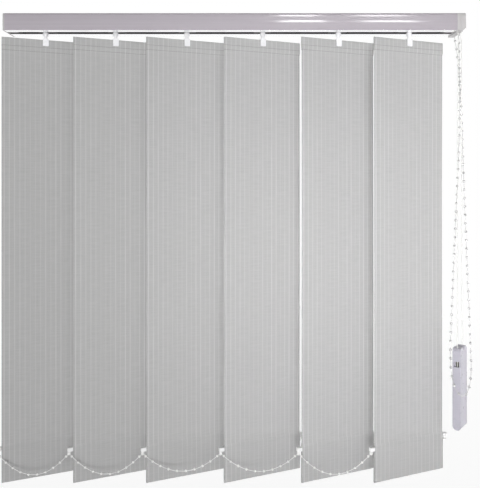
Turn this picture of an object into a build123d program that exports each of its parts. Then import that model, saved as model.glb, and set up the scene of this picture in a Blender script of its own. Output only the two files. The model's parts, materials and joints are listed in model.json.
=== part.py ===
from build123d import *
from math import cos, pi, radians, sin, sqrt
import os

# A vertical blind: six fabric vanes hang from worm-geared carriers in a slotted head rail.
# The frame: X runs along the rail, -Y faces the room, Z is up.
# The origin is the middle of the rail's top, where the ceiling clips are screwed up.

# Head rail, an aluminium extrusion
rail_length = 687.6
rail_depth = 44.0
rail_height = 26.5
rail_wall = 1.3
facet_lean = 0.7
ridge_share = 0.495
ridge_round = 30.0
crown_height = 4.0
crown_lean = 0.56
crown_edge_lean = 1.34
crown_round = 24.0
front_round = 2.4
edge_round = 0.8
inner_bevel = 2.0
lip_thickness = 1.6
slot_width = 14.0
slot_centre = -3.0
channel_mouth = 16.0
channel_width = 22.0
channel_lip = 1.4
channel_depth = 3.3
channel_wall = 1.3

# Ceiling clips that hook into the rail's top channel
clip_spacing = 400.0
clip_length = 32.0
clip_hole = 4.5
clip_play = 0.2

# End pieces of the rail
return_plate = 2.5
return_plug = 13.0
housing_length = 12.6
housing_plug = 12.8
housing_corner = 4.0
housing_groove_inset = 4.4
housing_groove_width = 0.9
housing_groove_depth = 0.4
nozzle_drop = 1.8
nozzle_wall = 1.2
plug_play = 0.15

# Vanes and their places along the rail
vane_width = 127.0
vane_drop = 673.3
vane_gap = 10.8
first_inset = 59.4
lead_inset = 81.3
pitch_shares = (0.962, 0.981, 1.044, 1.040, 0.973)
rest_tilt = 21.4
fabric = 0.5
top_pocket = 16.0
bottom_pocket = 55.5
seam_band = 4.5
top_pocket_gap = 2.0
bottom_pocket_gap = 2.6

# Hanger plate in the top pocket and weight plate in the bottom pocket
hanger_width = 116.0
hanger_height = 12.0
hanger_thickness = 1.6
weight_plate_width = 120.0
weight_plate_thickness = 2.2
plate_play = 0.6
plate_round = 3.0
ear_reach = 8.5
ear_height = 5.5
ear_thickness = 3.4
peg_reach = 6.5
peg_forward = 2.0
peg_radius = 1.0
peg_length = 5.0
peg_play = 0.1

# Bead chains
bead_radius = 2.0
bead_pitch = 13.0
bead_sides = 8
bead_half_share = 0.9
bead_bevel_share = 0.55
thread_radius = 0.4
thread_sides = 6
swag_slack_share = 0.192
connector_radius = 2.4
connector_height = 4.6

# Stem with its gear and clip
gear_teeth = 10
worm_starts = 2
tooth_pitch = 4.0
gear_width = 3.2
tooth_rise = 0.45
tooth_fall = 1.4
tooth_root_share = 0.31
tooth_tip_share = 0.1
hub_radius = 4.6
journal_radius = 4.0
journal_play = 0.06
collar_drop = 4.6
neck_radius = 2.6
jaw_width = 8.6
jaw_height = 10.2
jaw_thickness = 1.5
jaw_play = 0.25
nub_radius = 1.4
notch_play = 0.3

# Worm and tilt rod
worm_pitch_radius = 4.0
worm_wave = 0.9
worm_sides = 16
worm_length = 20.0
worm_journal_radius = 2.9
worm_end_play = 0.4
rod_side = 2.6
rod_play = 0.3
rod_pin_radius = 1.2
rod_level = -13.5

# Carrier
carrier_length = 26.0
carrier_wall = 1.5
carrier_top = -6.0
carrier_floor = 3.0
carrier_lift = 0.4
carrier_front = 9.3
wing_gap = 1.4
wing_inset = 2.0
boss_radius = 6.2
boss_drop = 1.6
running_gap = 0.5
seat_gap = 0.3
lug_reach = 2.0
lug_length = 8.0
lug_height = 4.0
cord_play = 0.35

# Spacer links between the carriers
link_width = 7.0
link_thickness = 0.4
link_step = 0.9
link_inset = 2.0
link_overrun = 6.0
link_tab = 3.0
link_play = 0.3

# Cord, its pulleys and its weight
cord_radius = 0.6
cord_front = 4.4
cord_rear = 8.2
guide_radius = 4.0
guide_width = 3.0
pulley_flange = 1.0
pulley_play = 0.1
pin_radius = 1.2
pin_play = 0.02
pin_head = 0.8
pin_head_radius = 2.2
guide_level = -14.0
left_exit_inset = 10.55
right_exit_inset = 4.25
return_inset = 7.3
return_pulley_height = 5.0
shelf_thickness = 2.0
weight_inset = 7.25
weight_top = -507.0
weight_height = 124.4
weight_width = 29.5
weight_thickness = 12.4
weight_turn = 51.0
weight_shoulder = 6.5
weight_notch_width = 9.0
weight_notch_depth = 4.0
weight_pulley_radius = 10.5
weight_pulley_width = 4.0
weight_pulley_drop = 25.0
strand_bore = 1.6
recess_width = 7.6
recess_depth = 1.0
recess_top = 8.0
recess_height = 12.8
window_height = 8.3
window_depth = 4.0

# Chain wheel and control chain
wheel_pockets = 4
wheel_width = 4.4
wheel_rim = 1.2
wheel_play = 0.5
wheel_hub_radius = 3.6
wheel_hub_length = 1.0
hub_play = 0.08
chain_inset = 3.75

# One overrun for all through cuts
overrun = 1.0

# Levels and lines that follow from the sizes above
overall_length = return_plate + rail_length + housing_length
mean_pitch = (overall_length - first_inset - lead_inset) / len(pitch_shares)
swag_length = (1 + swag_slack_share) * mean_pitch
left_end = -overall_length / 2
right_end = overall_length / 2
rail_left = left_end + return_plate
rail_right = right_end - housing_length
front = -rail_depth / 2
back = rail_depth / 2
rail_bottom = -rail_height
inner_front = front + facet_lean + rail_wall
inner_back = back - rail_wall
lip_top = rail_bottom + lip_thickness
channel_bottom = -(channel_depth + channel_wall)
plug_top = channel_bottom - plug_play
plug_bottom = lip_top + plug_play

stem_y = slot_centre
gear_pitch_radius = gear_teeth * tooth_pitch / (2 * pi)
gear_tip = gear_pitch_radius + tooth_rise
gear_root = gear_pitch_radius - tooth_fall
worm_tip = worm_pitch_radius + worm_wave
worm_root = worm_pitch_radius - worm_wave
worm_lead = worm_starts * tooth_pitch
rod_y = stem_y + gear_pitch_radius + worm_pitch_radius
gear_bottom = rod_level - gear_width / 2
carrier_bottom = lip_top + carrier_lift
floor_top = carrier_bottom + carrier_floor
carrier_front_y = stem_y - carrier_front
carrier_back_y = rod_y + worm_tip + running_gap + carrier_wall

vane_top = rail_bottom - vane_gap
vane_bottom = vane_top - vane_drop
ear_top = vane_bottom + bottom_pocket - plate_play
ear_bottom = ear_top - ear_height
chain_level = ear_bottom - peg_length / 2
ear_end = vane_width / 2 + ear_reach
peg_offset = vane_width / 2 + peg_reach
top_half = top_pocket_gap / 2 + fabric
bottom_half = bottom_pocket_gap / 2 + fabric

cord_front_y = front + cord_front
cord_rear_y = front + cord_rear
cord_level = guide_level + guide_radius
return_radius = (cord_rear_y - cord_front_y) / 2
return_x = left_end + return_inset
return_y = (cord_front_y + cord_rear_y) / 2
left_exit_x = right_end - left_exit_inset
right_exit_x = right_end - right_exit_inset
nozzle_bottom = rail_bottom - nozzle_drop
weight_x = right_end - weight_inset
weight_y = return_y
weight_pulley_z = weight_top - weight_pulley_drop
chain_x = right_end - chain_inset
wheel_radius = bead_pitch / (2 * sin(pi / wheel_pockets))
wheel_tip = wheel_radius + wheel_rim
wheel_bay = wheel_radius + bead_radius + wheel_play

# The control chain's route below the rail, chosen by hand, with X measured from the wheel's
# middle plane: first the strand on the wheel's room side, then the loop's bottom, then the
# strand on its window side
chain_route = [
    (0.6, -1.4, -52.0),
    (1.2, -1.6, -95.0),
    (0.4, -4.0, -150.0),
    (-1.4, -6.5, -205.0),
    (-4.6, -8.8, -260.0),
    (-8.4, -11.5, -318.0),
    (-12.2, -15.0, -375.0),
    (-15.8, -18.5, -430.0),
    (-19.0, -22.0, -478.0),
    (-21.4, -24.5, -520.0),
    (-20.7, -28.5, -550.0),
    (-16.1, -33.5, -568.5),
    (-9.0, -36.0, -576.5),
    (-1.6, -35.0, -576.0),
    (5.4, -29.5, -567.0),
    (11.4, -21.5, -553.0),
    (14.2, -15.0, -528.0),
    (13.8, -11.5, -488.0),
    (13.2, -7.5, -440.0),
    (12.7, -3.5, -390.0),
    (11.7, 0.0, -335.0),
    (10.4, 2.9, -278.0),
    (9.2, 5.6, -220.0),
    (8.4, 8.0, -165.0),
    (7.4, 10.2, -116.0),
    (5.2, 12.6, -74.0),
    (2.0, 15.2, -44.0),
]


def block(x0, x1, y0, y1, z0, z1):
    """A box between two corners."""
    size = Box(x1 - x0, y1 - y0, z1 - z0)
    return Pos((x0 + x1) / 2, (y0 + y1) / 2, (z0 + z1) / 2) * size


def rod_along_x(radius, x0, x1, y, z):
    return Pos((x0 + x1) / 2, y, z) * Rot(0, 90, 0) * Cylinder(radius, x1 - x0)


def rod_along_y(radius, x, y0, y1, z):
    return Pos(x, (y0 + y1) / 2, z) * Rot(90, 0, 0) * Cylinder(radius, y1 - y0)


def rod_along_z(radius, x, y, z0, z1):
    return Pos(x, y, (z0 + z1) / 2) * Cylinder(radius, z1 - z0)


def outline_face(points, plane):
    """A flat face inside a closed outline."""
    return plane * make_face(Polyline(*points, close=True))


def carrier_places():
    """Where the stems stand along the rail, from the return end to the lead carrier."""
    places = [right_end - lead_inset]
    for share in reversed(pitch_shares):
        places.insert(0, places[0] - share * mean_pitch)
    return places


def rail_outline():
    """The rail's outer section in Y and Z, with a slight ridge and a crown along the front."""
    ridge = -ridge_share * rail_height
    return [
        (front + crown_edge_lean, 0),
        (front + crown_lean, -crown_height),
        (front, ridge),
        (front + facet_lean, rail_bottom),
        (back, rail_bottom),
        (back, 0),
    ]


def section_along_x(points, x0, x1):
    face = outline_face(points, Plane.YZ)
    return Pos(x0, 0, 0) * extrude(face, x1 - x0)


def rounded_end_section(x0, x1):
    """The rail's outer section as a solid, with its ridge, crown and long top edges rounded."""
    outline = rail_outline()
    body = section_along_x(outline, x0, x1)
    corners = (outline[0], outline[1], outline[2], outline[-1])
    radii = (front_round, crown_round, ridge_round, edge_round)
    for (y, z), radius in zip(corners, radii):
        place = Vector((x0 + x1) / 2, y, z)
        edge = body.edges().filter_by(Axis.X).sort_by_distance(place)[0]
        body = fillet(edge, radius)
    return body


def head_rail():
    shoulder = channel_width / 2 + channel_wall
    body = rounded_end_section(rail_left, rail_right)
    cavity = [
        (inner_front, -rail_wall - inner_bevel),
        (inner_front + inner_bevel, -rail_wall),
        (-shoulder, -rail_wall),
        (-shoulder, channel_bottom),
        (shoulder, channel_bottom),
        (shoulder, -rail_wall),
        (inner_back, -rail_wall),
        (inner_back, lip_top),
        (slot_centre + slot_width / 2, lip_top),
        (slot_centre + slot_width / 2, rail_bottom - overrun),
        (slot_centre - slot_width / 2, rail_bottom - overrun),
        (slot_centre - slot_width / 2, lip_top),
        (inner_front, lip_top),
    ]
    channel = [
        (-channel_mouth / 2, overrun),
        (-channel_mouth / 2, -channel_lip),
        (-channel_width / 2, -channel_lip),
        (-channel_width / 2, -channel_depth),
        (channel_width / 2, -channel_depth),
        (channel_width / 2, -channel_lip),
        (channel_mouth / 2, -channel_lip),
        (channel_mouth / 2, overrun),
    ]
    for hollow in (cavity, channel):
        body -= section_along_x(hollow, rail_left - overrun, rail_right + overrun)
    return body


def ceiling_clips():
    """Two clips whose wings lie under the lips of the rail's top channel."""
    clips = []
    for side in (-1, 1):
        x = side * clip_spacing / 2
        x0 = x - clip_length / 2
        x1 = x + clip_length / 2
        neck = channel_mouth / 2 - clip_play
        wing = channel_width / 2 - clip_play
        wing_top = -channel_lip - clip_play
        clip = block(x0, x1, -neck, neck, wing_top, 0)
        clip += block(x0, x1, -wing, wing, clip_play - channel_depth, wing_top)
        clip -= rod_along_z(clip_hole / 2, x, 0, -channel_depth, overrun)
        clips.append(clip)
    return Compound(children=clips)


def return_end_cap():
    """The left cap: a plate over the rail's end, a plug inside it and a pulley shelf."""
    plug_right = rail_left + return_plug
    plug_front = carrier_front_y
    cap = rounded_end_section(left_end, rail_left)
    cap += block(rail_left, plug_right, plug_front, inner_back - plug_play, plug_bottom, plug_top)
    shelf_top = cord_level - return_pulley_height / 2 - seat_gap
    shelf_front = inner_front + plug_play
    cap += block(rail_left, plug_right, shelf_front, plug_front, shelf_top - shelf_thickness, shelf_top)
    bore = rod_pin_radius + hub_play
    cap -= rod_along_x(bore, rail_left, plug_right + overrun, rod_y, rod_level)
    seat = pin_radius + pin_play
    cap -= rod_along_z(seat, return_x, return_y, shelf_top - shelf_thickness - overrun, shelf_top)
    return cap


def control_housing():
    """The right end: an outer cap with bays for the chain wheel and the cord pulleys."""
    body = rounded_end_section(rail_right, right_end)
    lower_edge = body.edges().filter_by(Axis.Y).group_by(Axis.Z)[0].sort_by(Axis.X)[-1]
    body = chamfer(lower_edge, housing_corner)
    # A groove down the front sets off the flange beside the rail
    groove_left = rail_right + housing_groove_inset
    body -= block(
        groove_left,
        groove_left + housing_groove_width,
        front - overrun,
        front + facet_lean + housing_groove_depth,
        rail_bottom - overrun,
        -front_round,
    )
    plug_left = rail_right - housing_plug
    bay_front = inner_front + plug_play
    bay_back = cord_rear_y + guide_width / 2 + running_gap
    body += block(plug_left, rail_right, bay_back, inner_back - plug_play, plug_bottom, plug_top)
    nozzle_left = left_exit_x - nozzle_wall - cord_radius
    nozzle_right = right_end - housing_corner
    nozzle_back = rod_y + wheel_radius + bead_radius + nozzle_wall
    body += block(
        rail_right, nozzle_right, inner_front, nozzle_back, nozzle_bottom, rail_bottom + overrun
    )
    # The pulley bay opens into the rail and down through the nozzle
    bay_right = right_exit_x + cord_radius + running_gap
    body -= block(plug_left, bay_right, bay_front, bay_back, rail_bottom, plug_top)
    exit_left = left_exit_x - cord_radius - running_gap
    body -= block(exit_left, bay_right, bay_front, bay_back, nozzle_bottom - overrun, rail_bottom)
    # The wheel bay opens down through the nozzle for the two chain strands
    half = wheel_width / 2 + running_gap
    bay = rod_along_x(wheel_bay, chain_x - half, chain_x + half, rod_y, rod_level)
    strand = bead_radius + running_gap
    for side in (-1, 1):
        y = rod_y + side * wheel_radius
        bay += block(
            chain_x - strand, chain_x + strand, y - strand, y + strand, nozzle_bottom - overrun, rod_level
        )
    body -= bay
    hub_end = chain_x + half + wheel_hub_length
    body -= rod_along_x(wheel_hub_radius + hub_play, plug_left, hub_end, rod_y, rod_level)
    for x in guide_places():
        body -= rod_along_y(pin_radius + pin_play, x, bay_back, bay_back + guide_width, guide_level)
    return body


def guide_places():
    """The guide pulleys' centres along X: first the room side one, then the other."""
    return (left_exit_x - guide_radius, right_exit_x - guide_radius)


def grooved_wheel(groove_radius, width, bore):
    """A pulley on the Z axis, with a round groove for the cord and a bore for its pin."""
    wheel = Cylinder(groove_radius + pulley_flange, width)
    wheel -= Torus(groove_radius + cord_radius, 2 * cord_radius)
    wheel -= Cylinder(bore, width + overrun)
    return wheel


def guide_pulleys():
    pulleys = []
    for x, y in zip(guide_places(), (cord_front_y, cord_rear_y)):
        wheel = grooved_wheel(guide_radius - cord_radius, guide_width, pin_radius + pulley_play)
        pulleys.append(Pos(x, y, guide_level) * Rot(90, 0, 0) * wheel)
    return pulleys


def return_pulley():
    wheel = grooved_wheel(return_radius - cord_radius / 2, return_pulley_height, pin_radius / 2 + pulley_play)
    return Pos(return_x, return_y, cord_level) * wheel


def weight_frame():
    """The cord weight's own frame: X across its width, Y across its thickness."""
    return Pos(weight_x, weight_y, 0) * Rot(0, 0, weight_turn)


def weight_pulley():
    groove = weight_pulley_radius - cord_radius
    wheel = grooved_wheel(groove, weight_pulley_width, pin_radius + pulley_play)
    return weight_frame() * Pos(0, 0, weight_pulley_z) * Rot(90, 0, 0) * wheel


def pulley_pins():
    """The pins of the two guide pulleys, the return pulley and the weight's pulley."""
    pins = []
    bay_back = cord_rear_y + guide_width / 2 + running_gap
    for x, y in zip(guide_places(), (cord_front_y, cord_rear_y)):
        tip = y - guide_width / 2 - seat_gap
        pin = rod_along_y(pin_radius, x, tip, bay_back + guide_width, guide_level)
        pin += rod_along_y(pin_head_radius, x, tip - pin_head / 2, tip, guide_level)
        pins.append(pin)
    shelf_top = cord_level - return_pulley_height / 2 - seat_gap
    pulley_top = cord_level + return_pulley_height / 2 + seat_gap
    slim = rod_along_z(pin_radius / 2, return_x, return_y, shelf_top, pulley_top)
    slim += rod_along_z(pin_radius, return_x, return_y, shelf_top - shelf_thickness, shelf_top)
    slim += rod_along_z(pin_radius, return_x, return_y, pulley_top, pulley_top + pin_head)
    pins.append(slim)
    half = weight_thickness / 2 - recess_depth
    pins.append(weight_frame() * rod_along_y(pin_radius, 0, -half, half, weight_pulley_z))
    return Compound(children=pins)


def cord_weight_half(side):
    """One moulded half of the cord weight, on the -1 or the +1 side of its thickness."""
    half_width = weight_width / 2
    half_thick = weight_thickness / 2
    bottom = weight_top - weight_height
    body = block(-half_width, half_width, -half_thick, half_thick, bottom, weight_top)
    low = body.edges().filter_by(Axis.X).group_by(Axis.Z)[0]
    body = fillet(low, half_thick - plug_play)
    shoulders = body.edges().filter_by(Axis.Y).group_by(Axis.Z)[-1]
    body = fillet(shoulders, weight_shoulder)
    corners = body.edges().filter_by(Axis.Z)
    body = fillet(corners, edge_round)
    notch_half = weight_notch_width / 2
    notch = outline_face(
        [
            (-notch_half, weight_top + overrun),
            (-notch_half / 2, weight_top - weight_notch_depth),
            (notch_half / 2, weight_top - weight_notch_depth),
            (notch_half, weight_top + overrun),
        ],
        Plane.XZ,
    )
    body -= extrude(notch, weight_thickness, both=True)
    pocket = weight_pulley_width / 2 + running_gap
    pocket_radius = weight_pulley_radius + pulley_flange + running_gap
    body -= rod_along_y(pocket_radius, 0, -pocket, pocket, weight_pulley_z)
    for edge in (-1, 1):
        x = edge * weight_pulley_radius
        body -= rod_along_z(strand_bore, x, 0, weight_pulley_z, weight_top + overrun)
    half = weight_thickness / 2 - recess_depth
    body -= rod_along_y(pin_radius + pin_play, 0, -half, half, weight_pulley_z)
    # The narrow edge that faces the room has a shallow channel that ends in a window on the pulley
    channel_top = weight_top - recess_top
    channel_low = channel_top - recess_height
    half_recess = recess_width / 2
    edge_x = -half_width
    body -= block(
        edge_x - overrun, edge_x + recess_depth, -half_recess, half_recess, channel_low, channel_top
    )
    body -= block(
        edge_x - overrun,
        edge_x + window_depth,
        -half_recess,
        half_recess,
        channel_low - window_height,
        channel_low,
    )
    keep = block(
        -weight_width,
        weight_width,
        min(0, side * weight_thickness),
        max(0, side * weight_thickness),
        bottom - overrun,
        weight_top + overrun,
    )
    return weight_frame() * (body & keep)


def strand_ends():
    """Where the two hanging strands leave the rail and where they meet the weight's pulley."""
    turn = radians(weight_turn)
    reach = weight_pulley_radius
    tops = (
        Vector(left_exit_x, cord_front_y, nozzle_bottom),
        Vector(right_exit_x, cord_rear_y, nozzle_bottom),
    )
    feet = []
    for side in (-1, 1):
        x = weight_x + side * reach * cos(turn)
        y = weight_y + side * reach * sin(turn)
        feet.append(Vector(x, y, weight_pulley_z))
    return tops, feet


def straight_tube(start, end, radius):
    way = end - start
    return Solid.make_cylinder(radius, way.length, Plane(start, z_dir=way))


def pull_cord():
    """The cord's hanging loop: two taut strands and the half turn round the weight's pulley."""
    tops, feet = strand_ends()
    low = Vector(weight_x, weight_y, weight_pulley_z - weight_pulley_radius)
    turn = ThreePointArc(feet[0], low, feet[1])
    section = Plane(feet[0]) * Circle(cord_radius)
    lengths = [straight_tube(top, foot, cord_radius) for top, foot in zip(tops, feet)]
    return Compound(children=lengths + [sweep(section, path=turn)])


def rail_cord():
    """The cord inside the rail: from one exit over its pulley to the return end and back."""
    left_guide, right_guide = guide_places()
    low = nozzle_bottom
    side = sqrt(0.5)
    front_turn = ThreePointArc(
        (left_exit_x, cord_front_y, guide_level),
        (left_guide + guide_radius * side, cord_front_y, guide_level + guide_radius * side),
        (left_guide, cord_front_y, cord_level),
    )
    far_turn = ThreePointArc(
        (return_x, cord_front_y, cord_level),
        (return_x - return_radius, return_y, cord_level),
        (return_x, cord_rear_y, cord_level),
    )
    rear_turn = ThreePointArc(
        (right_guide, cord_rear_y, cord_level),
        (right_guide + guide_radius * side, cord_rear_y, guide_level + guide_radius * side),
        (right_exit_x, cord_rear_y, guide_level),
    )
    path = Wire(
        [
            Line((left_exit_x, cord_front_y, low), front_turn @ 0).edge(),
            front_turn.edge(),
            Line(front_turn @ 1, far_turn @ 0).edge(),
            far_turn.edge(),
            Line(far_turn @ 1, rear_turn @ 0).edge(),
            rear_turn.edge(),
            Line(rear_turn @ 1, (right_exit_x, cord_rear_y, low)).edge(),
        ]
    )
    section = Plane((left_exit_x, cord_front_y, low)) * Circle(cord_radius)
    return sweep(section, path=path)


def bead():
    """A faceted bead on the Z axis, which its thread follows."""
    half = bead_half_share * bead_radius
    body = extrude(RegularPolygon(bead_radius, bead_sides), half, both=True)
    rims = body.edges().filter_by(Axis.Z, reverse=True)
    return chamfer(rims, bead_bevel_share * bead_radius)


def bead_string(points):
    """Thread through the points, with a bead at each point but the first and the last."""
    pieces = []
    for start, end in zip(points, points[1:]):
        way = end - start
        section = Plane(start, z_dir=way) * RegularPolygon(thread_radius, thread_sides)
        pieces.append(extrude(section, way.length))
    ball = bead()
    for before, place, after in zip(points, points[1:], points[2:]):
        pieces.append(Plane(place, z_dir=after - before).location * ball)
    return pieces


def control_chain():
    """The endless bead chain: over the wheel and down in a loop past the cord weight."""
    top = Vector(0, rod_y, rod_level)
    steps = wheel_pockets // 2
    wheel_points = []
    for step in range(steps + 1):
        angle = pi * step / steps
        y = top.Y + wheel_radius * cos(angle)
        z = top.Z + wheel_radius * sin(angle)
        wheel_points.append(Vector(chain_x, y, z))
    route = [Vector(chain_x + x, y, z) for x, y, z in chain_route]
    run = Spline(wheel_points[-1], *route, wheel_points[0])
    count = round(run.length / bead_pitch)
    hanging = [run @ (step / count) for step in range(1, count)]
    loop = wheel_points + hanging + wheel_points[:2]
    pieces = bead_string(loop)
    return pieces[0].fuse(*pieces[1:])


def chain_wheel():
    """The bead wheel at the end of the tilt rod."""
    half = wheel_width / 2
    wheel = rod_along_x(wheel_tip, chain_x - half, chain_x + half, rod_y, rod_level)
    hub = half + running_gap + wheel_hub_length - seat_gap
    wheel += rod_along_x(wheel_hub_radius, chain_x - hub, chain_x + hub, rod_y, rod_level)
    pocket = bead_radius + rod_play
    for index in range(wheel_pockets):
        angle = 2 * pi * index / wheel_pockets
        y = rod_y + wheel_radius * cos(angle)
        z = rod_level + wheel_radius * sin(angle)
        wheel -= Pos(chain_x, y, z) * Sphere(pocket)
    # A groove round the rim takes the thread between the beads
    depth = wheel_radius * cos(pi / wheel_pockets) - 2 * thread_radius
    slot = thread_radius + rod_play
    ring = rod_along_x(wheel_tip + overrun, chain_x - slot, chain_x + slot, rod_y, rod_level)
    ring -= rod_along_x(depth, chain_x - slot, chain_x + slot, rod_y, rod_level)
    wheel -= ring
    half_side = rod_side / 2
    wheel -= block(
        chain_x - hub - overrun,
        chain_x + hub + overrun,
        rod_y - half_side,
        rod_y + half_side,
        rod_level - half_side,
        rod_level + half_side,
    )
    return wheel


def tilt_rod():
    """The square rod that turns every worm, with a round pin in the return cap."""
    half = rod_side / 2
    square_left = rail_left + return_plug + seat_gap
    square_right = chain_x + wheel_width / 2
    rod = block(square_left, square_right, rod_y - half, rod_y + half, rod_level - half, rod_level + half)
    rod += rod_along_x(rod_pin_radius, rail_left + seat_gap, square_left, rod_y, rod_level)
    return rod


def worm(x):
    """A two-start worm that slides along the tilt rod with its carrier."""
    turn = 360 * worm_length / worm_lead
    corners = []
    for index in range(worm_sides):
        angle = 2 * pi * index / worm_sides
        corners.append((worm_root * cos(angle), worm_tip * sin(angle)))
    section = Rot(-turn / 2, 0, 0) * outline_face(corners, Plane.YZ)
    thread = Solid.extrude_linear_with_rotation(
        section.face(), (0, 0, 0), (worm_length, 0, 0), turn
    )
    body = Pos(-worm_length / 2, 0, 0) * thread
    half = carrier_length / 2
    body += Rot(0, 90, 0) * Cylinder(worm_journal_radius, 2 * half)
    bore = rod_side + 2 * rod_play
    body -= Box(carrier_length + 2 * overrun, bore, bore)
    return Pos(x, rod_y, rod_level) * body


def gear_face():
    """The stem gear's outline: slim teeth that run free in the worm's thread."""
    points = []
    step = 2 * pi / gear_teeth
    for index in range(gear_teeth):
        middle = pi / 2 + index * step
        root = tooth_root_share * step
        tip = tooth_tip_share * step
        for angle, radius in (
            (middle - root, gear_root),
            (middle - tip, gear_tip),
            (middle + tip, gear_tip),
            (middle + root, gear_root),
        ):
            points.append((radius * cos(angle), radius * sin(angle)))
    return make_face(Polyline(*points, close=True))


def stem_hook(x):
    """The turning stem: gear, journal, neck and the clip that grips the vane's hanger."""
    lean = worm_lead / (2 * pi * worm_pitch_radius)
    twist = lean * gear_width / gear_pitch_radius * 180 / pi
    section = Rot(0, 0, -twist / 2) * gear_face()
    gear = Solid.extrude_linear_with_rotation(section.face(), (0, 0, 0), (0, 0, gear_width), twist)
    stem = Pos(0, 0, gear_bottom) * gear
    seat = floor_top + seat_gap
    collar_bottom = rail_bottom - collar_drop
    stem += rod_along_z(hub_radius, 0, 0, seat, gear_bottom)
    stem += rod_along_z(journal_radius, 0, 0, collar_bottom, seat)
    stem += rod_along_z(neck_radius, 0, 0, vane_top, collar_bottom)
    clip = clip_jaws()
    return Pos(x, stem_y, 0) * (stem + Rot(0, 0, rest_tilt) * clip)


def clip_jaws():
    """Two jaws over the vane's top edge, with a nub that enters the hanger's hole."""
    gap = top_half + jaw_play
    outer = gap + jaw_thickness
    half = jaw_width / 2
    bridge = vane_top + jaw_thickness
    low = vane_top + jaw_play - jaw_height
    clip = block(-half, half, -outer, outer, vane_top + jaw_play, bridge)
    for side in (-1, 1):
        y0 = min(side * gap, side * outer)
        y1 = max(side * gap, side * outer)
        clip += block(-half, half, y0, y1, low, bridge)
    verticals = clip.edges().filter_by(Axis.Y).group_by(Axis.Z)[0]
    clip = fillet(verticals, jaw_thickness / 2)
    clip += rod_along_y(nub_radius, 0, -gap, hanger_thickness / 2, hanger_hole_level())
    return clip


def hanger_hole_level():
    return vane_top - jaw_height / 2


def in_vane_frame(x, shape):
    """Turns a shape drawn square to the rail to the vane's place and rest angle."""
    return Pos(x, stem_y, 0) * Rot(0, 0, rest_tilt) * shape


def vane(x):
    """One fabric strip, folded into an open-sided pocket at its top and at its bottom."""
    half_fabric = fabric / 2
    top_low = vane_top - top_pocket
    low_top = vane_bottom + bottom_pocket
    outer = [
        (top_half - half_fabric, vane_top),
        (top_half, vane_top - fabric),
        (top_half, top_low),
        (half_fabric, top_low - seam_band),
        (half_fabric, low_top + seam_band),
        (bottom_half, low_top),
        (bottom_half, vane_bottom + fabric),
        (bottom_half - half_fabric, vane_bottom),
    ]
    mirrored = [(-y, z) for y, z in reversed(outer)]
    face = outline_face(outer + mirrored, Plane.YZ)
    for gap, low, high in (
        (top_pocket_gap, top_low, vane_top - fabric),
        (bottom_pocket_gap, vane_bottom + fabric, low_top),
    ):
        pocket = [(-gap / 2, low), (gap / 2, low), (gap / 2, high), (-gap / 2, high)]
        face -= outline_face(pocket, Plane.YZ)
    strip = Pos(-vane_width / 2, 0, 0) * extrude(face, vane_width)
    hole = nub_radius + notch_play
    strip -= rod_along_y(hole, 0, -2 * top_half, 2 * top_half, hanger_hole_level())
    return in_vane_frame(x, strip)


def rounded_plate(width, thickness, low, high):
    plate = block(-width / 2, width / 2, -thickness / 2, thickness / 2, low, high)
    corners = plate.edges().filter_by(Axis.Y)
    return fillet(corners, plate_round)


def vane_hanger(x):
    """The stiff plate in the top pocket, with the hole that the stem's nub enters."""
    high = vane_top - fabric - plate_play
    plate = rounded_plate(hanger_width, hanger_thickness, high - hanger_height, high)
    hole = nub_radius + notch_play
    plate -= rod_along_y(hole, 0, -hanger_thickness, hanger_thickness, hanger_hole_level())
    return in_vane_frame(x, plate)


def bottom_weight(x):
    """The weight plate in the bottom pocket, with an ear and a chain peg at each side."""
    low = vane_bottom + fabric + plate_play
    plate = rounded_plate(weight_plate_width, weight_plate_thickness, low, ear_top)
    inner = weight_plate_width / 2 - plate_round
    half = weight_plate_thickness / 2
    edge = vane_width / 2 + plate_play
    for side in (-1, 1):
        x0 = min(side * inner, side * edge)
        x1 = max(side * inner, side * edge)
        plate += block(x0, x1, -half, half, ear_bottom, ear_top)
        x0 = min(side * edge, side * ear_end)
        x1 = max(side * edge, side * ear_end)
        y0 = min(-side * half, side * (peg_forward + ear_thickness / 2))
        y1 = max(-side * half, side * (peg_forward + ear_thickness / 2))
        plate += block(x0, x1, y0, y1, ear_bottom, ear_top)
        peg_low = ear_bottom - peg_length
        plate += rod_along_z(peg_radius, side * peg_offset, side * peg_forward, peg_low, ear_bottom)
    return in_vane_frame(x, plate)


def swag_points(start, end):
    """One hanging length of chain: its left connector, its beads and its right connector."""
    span = end.X - start.X
    sag = sqrt(3 / 8 * (swag_length / span - 1)) * span
    fine = 400
    arc = []
    for step in range(fine + 1):
        share = step / fine
        drop = 4 * sag * share * (1 - share)
        arc.append(Vector(start.X + share * span, start.Y, start.Z - drop))
    count = round(swag_length / bead_pitch)
    lengths = [0]
    for first, second in zip(arc, arc[1:]):
        lengths.append(lengths[-1] + (second - first).length)
    beads = []
    for index in range(count):
        goal = lengths[-1] * (index + 0.5) / count
        nearest = min(range(fine + 1), key=lambda step: abs(lengths[step] - goal))
        beads.append(arc[nearest])
    return [start] + beads + [end]


def bottom_chain(side):
    """The bead chain that links the vanes' ears on the left (-1) or the right (+1) edges."""
    pegs = []
    for x in carrier_places():
        across = Vector(side * peg_offset, side * peg_forward, 0)
        pegs.append(Vector(x, stem_y, chain_level) + across.rotate(Axis.Z, rest_tilt))
    pieces = []
    for start, end in zip(pegs, pegs[1:]):
        pieces += bead_string(swag_points(start, end))
    for peg in pegs:
        pieces.append(Pos(peg) * Rot(0, 0, 90) * Cylinder(connector_radius, connector_height))
    chain = pieces[0].fuse(*pieces[1:])
    bore = peg_radius + peg_play
    for peg in pegs:
        chain -= Pos(peg) * Rot(0, 0, 90) * Cylinder(bore, connector_height + overrun)
    return chain


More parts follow.
